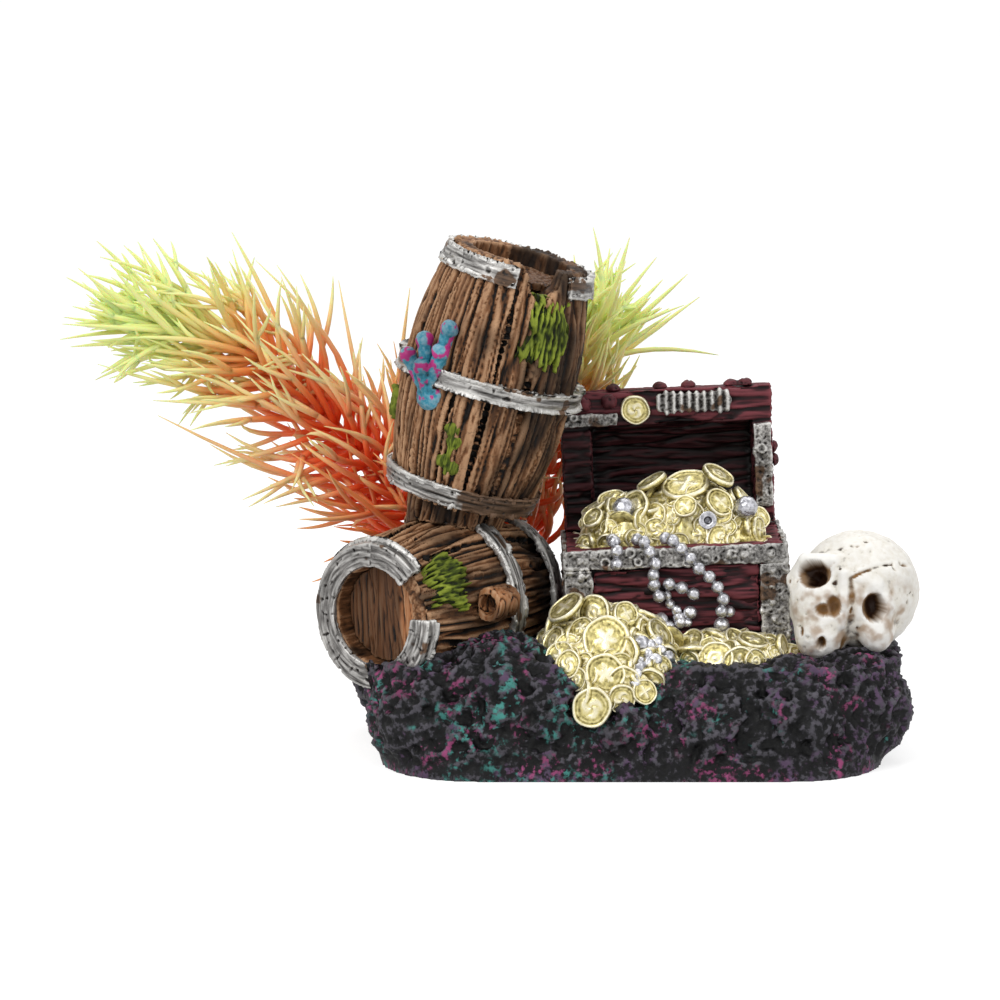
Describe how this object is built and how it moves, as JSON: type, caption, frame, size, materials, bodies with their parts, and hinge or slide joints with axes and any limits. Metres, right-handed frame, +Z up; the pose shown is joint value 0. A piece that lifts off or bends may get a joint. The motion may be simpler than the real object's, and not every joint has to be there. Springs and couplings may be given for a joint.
{
  "type": "aquarium bubbling ornament",
  "caption": "Aquarium bubbling ornament: wrecked barrels, an open treasure chest with coins and beads, and a skull on a rock, with soft plastic plants.",
  "frame": {"origin": "centre of the rock's underside, on the surface that it stands on", "axes": "+X to the viewer's right along the rock, +Y to the back (air inlet side), +Z up"},
  "size_m": [0.1859, 0.095, 0.1078],
  "materials": {
    "rock": "painted resin, dry-brushed grey, teal and magenta",
    "barrel_wood": "resin painted as weathered wood",
    "hoop_silver": "silver paint, worn",
    "chest_wood": "resin painted dark maroon wood",
    "trim_silver": "silver paint, worn",
    "coin_gold": "pale gold metallic paint",
    "bead_silver": "silver metallic paint",
    "bone": "off-white paint with a brown wash",
    "moss_green": "flocked green paint",
    "coral_blue": "teal and magenta paint",
    "clear_grey_plastic": "moulded plastic",
    "air_stone_grit": "sintered grit",
    "plug_plastic": "moulded green plastic",
    "plant_plastic": "soft moulded plastic, orange to yellow green"
  },
  "bodies": {
    "ornament": {"air_nipple": "clear_grey_plastic", "air_stone": "air_stone_grit", "air_tube": "clear_grey_plastic", "barrel_splinter": "barrel_wood", "barrel_stump": "barrel_wood", "bead_strand_cross": "bead_silver", "bead_strand_left": "bead_silver", "bead_strand_middle": "bead_silver", "bead_strand_right": "bead_silver", "chest_box": "chest_wood", "chest_corner_posts": "trim_silver", "chest_front_planks": "chest_wood", "chest_hasp": "trim_silver", "chest_lid": "chest_wood", "chest_lid_straps": "trim_silver", "chest_lid_studs": "trim_silver", "chest_rim_band": "trim_silver", "chest_rivets": "trim_silver", "coin_spill": "coin_gold", "coral_polyps": "coral_blue", "heap_coins": "coin_gold", "leaf_sprig": "moss_green", "lid_coin": "coin_gold", "lying_barrel_front_head": "barrel_wood", "lying_barrel_front_hoop": "hoop_silver", "lying_barrel_middle_hoop": "hoop_silver", "lying_barrel_rear_head": "barrel_wood", "lying_barrel_rear_hoop": "hoop_silver", "lying_barrel_staves": "barrel_wood", "moss_lower": "moss_green", "moss_side": "moss_green", "moss_upper": "moss_green", "ring_bead": "bead_silver", "rock_base": "rock", "silver_balls": "bead_silver", "silver_nuggets": "bead_silver", "skull": "bone", "spill_coins": "coin_gold", "standing_barrel_bottom_hoop": "hoop_silver", "standing_barrel_head": "barrel_wood", "standing_barrel_middle_hoop": "hoop_silver", "standing_barrel_staves": "barrel_wood", "standing_barrel_top_hoop": "hoop_silver", "treasure_heap": "coin_gold"},
    "left_plug": {"left_plant_plug": "plug_plastic"},
    "left_plant": {"left_plant_stem": "plant_plastic", "left_plant_leaves": "plant_plastic"},
    "right_plug": {"right_plant_plug": "plug_plastic"},
    "right_plant": {"right_plant_stem": "plant_plastic", "right_plant_leaves": "plant_plastic"}
  },
  "joints": [
    {"name": "left_plant_pull", "type": "slide", "parent": "ornament", "child": "left_plug", "axis": [0, 0, 1], "range_m": [0, 0.02]},
    {"name": "left_plant_turn", "type": "hinge", "parent": "left_plug", "child": "left_plant", "pos_m": [-0.0425, 0.0315, 0.024], "axis": [0, 0, 1], "range_deg": [-18, 18]},
    {"name": "right_plant_pull", "type": "slide", "parent": "ornament", "child": "right_plug", "axis": [0, 0, 1], "range_m": [0, 0.02]},
    {"name": "right_plant_turn", "type": "hinge", "parent": "right_plug", "child": "right_plant", "pos_m": [-0.0235, 0.033, 0.024], "axis": [0, 0, 1], "range_deg": [-10, 10]}
  ]
}
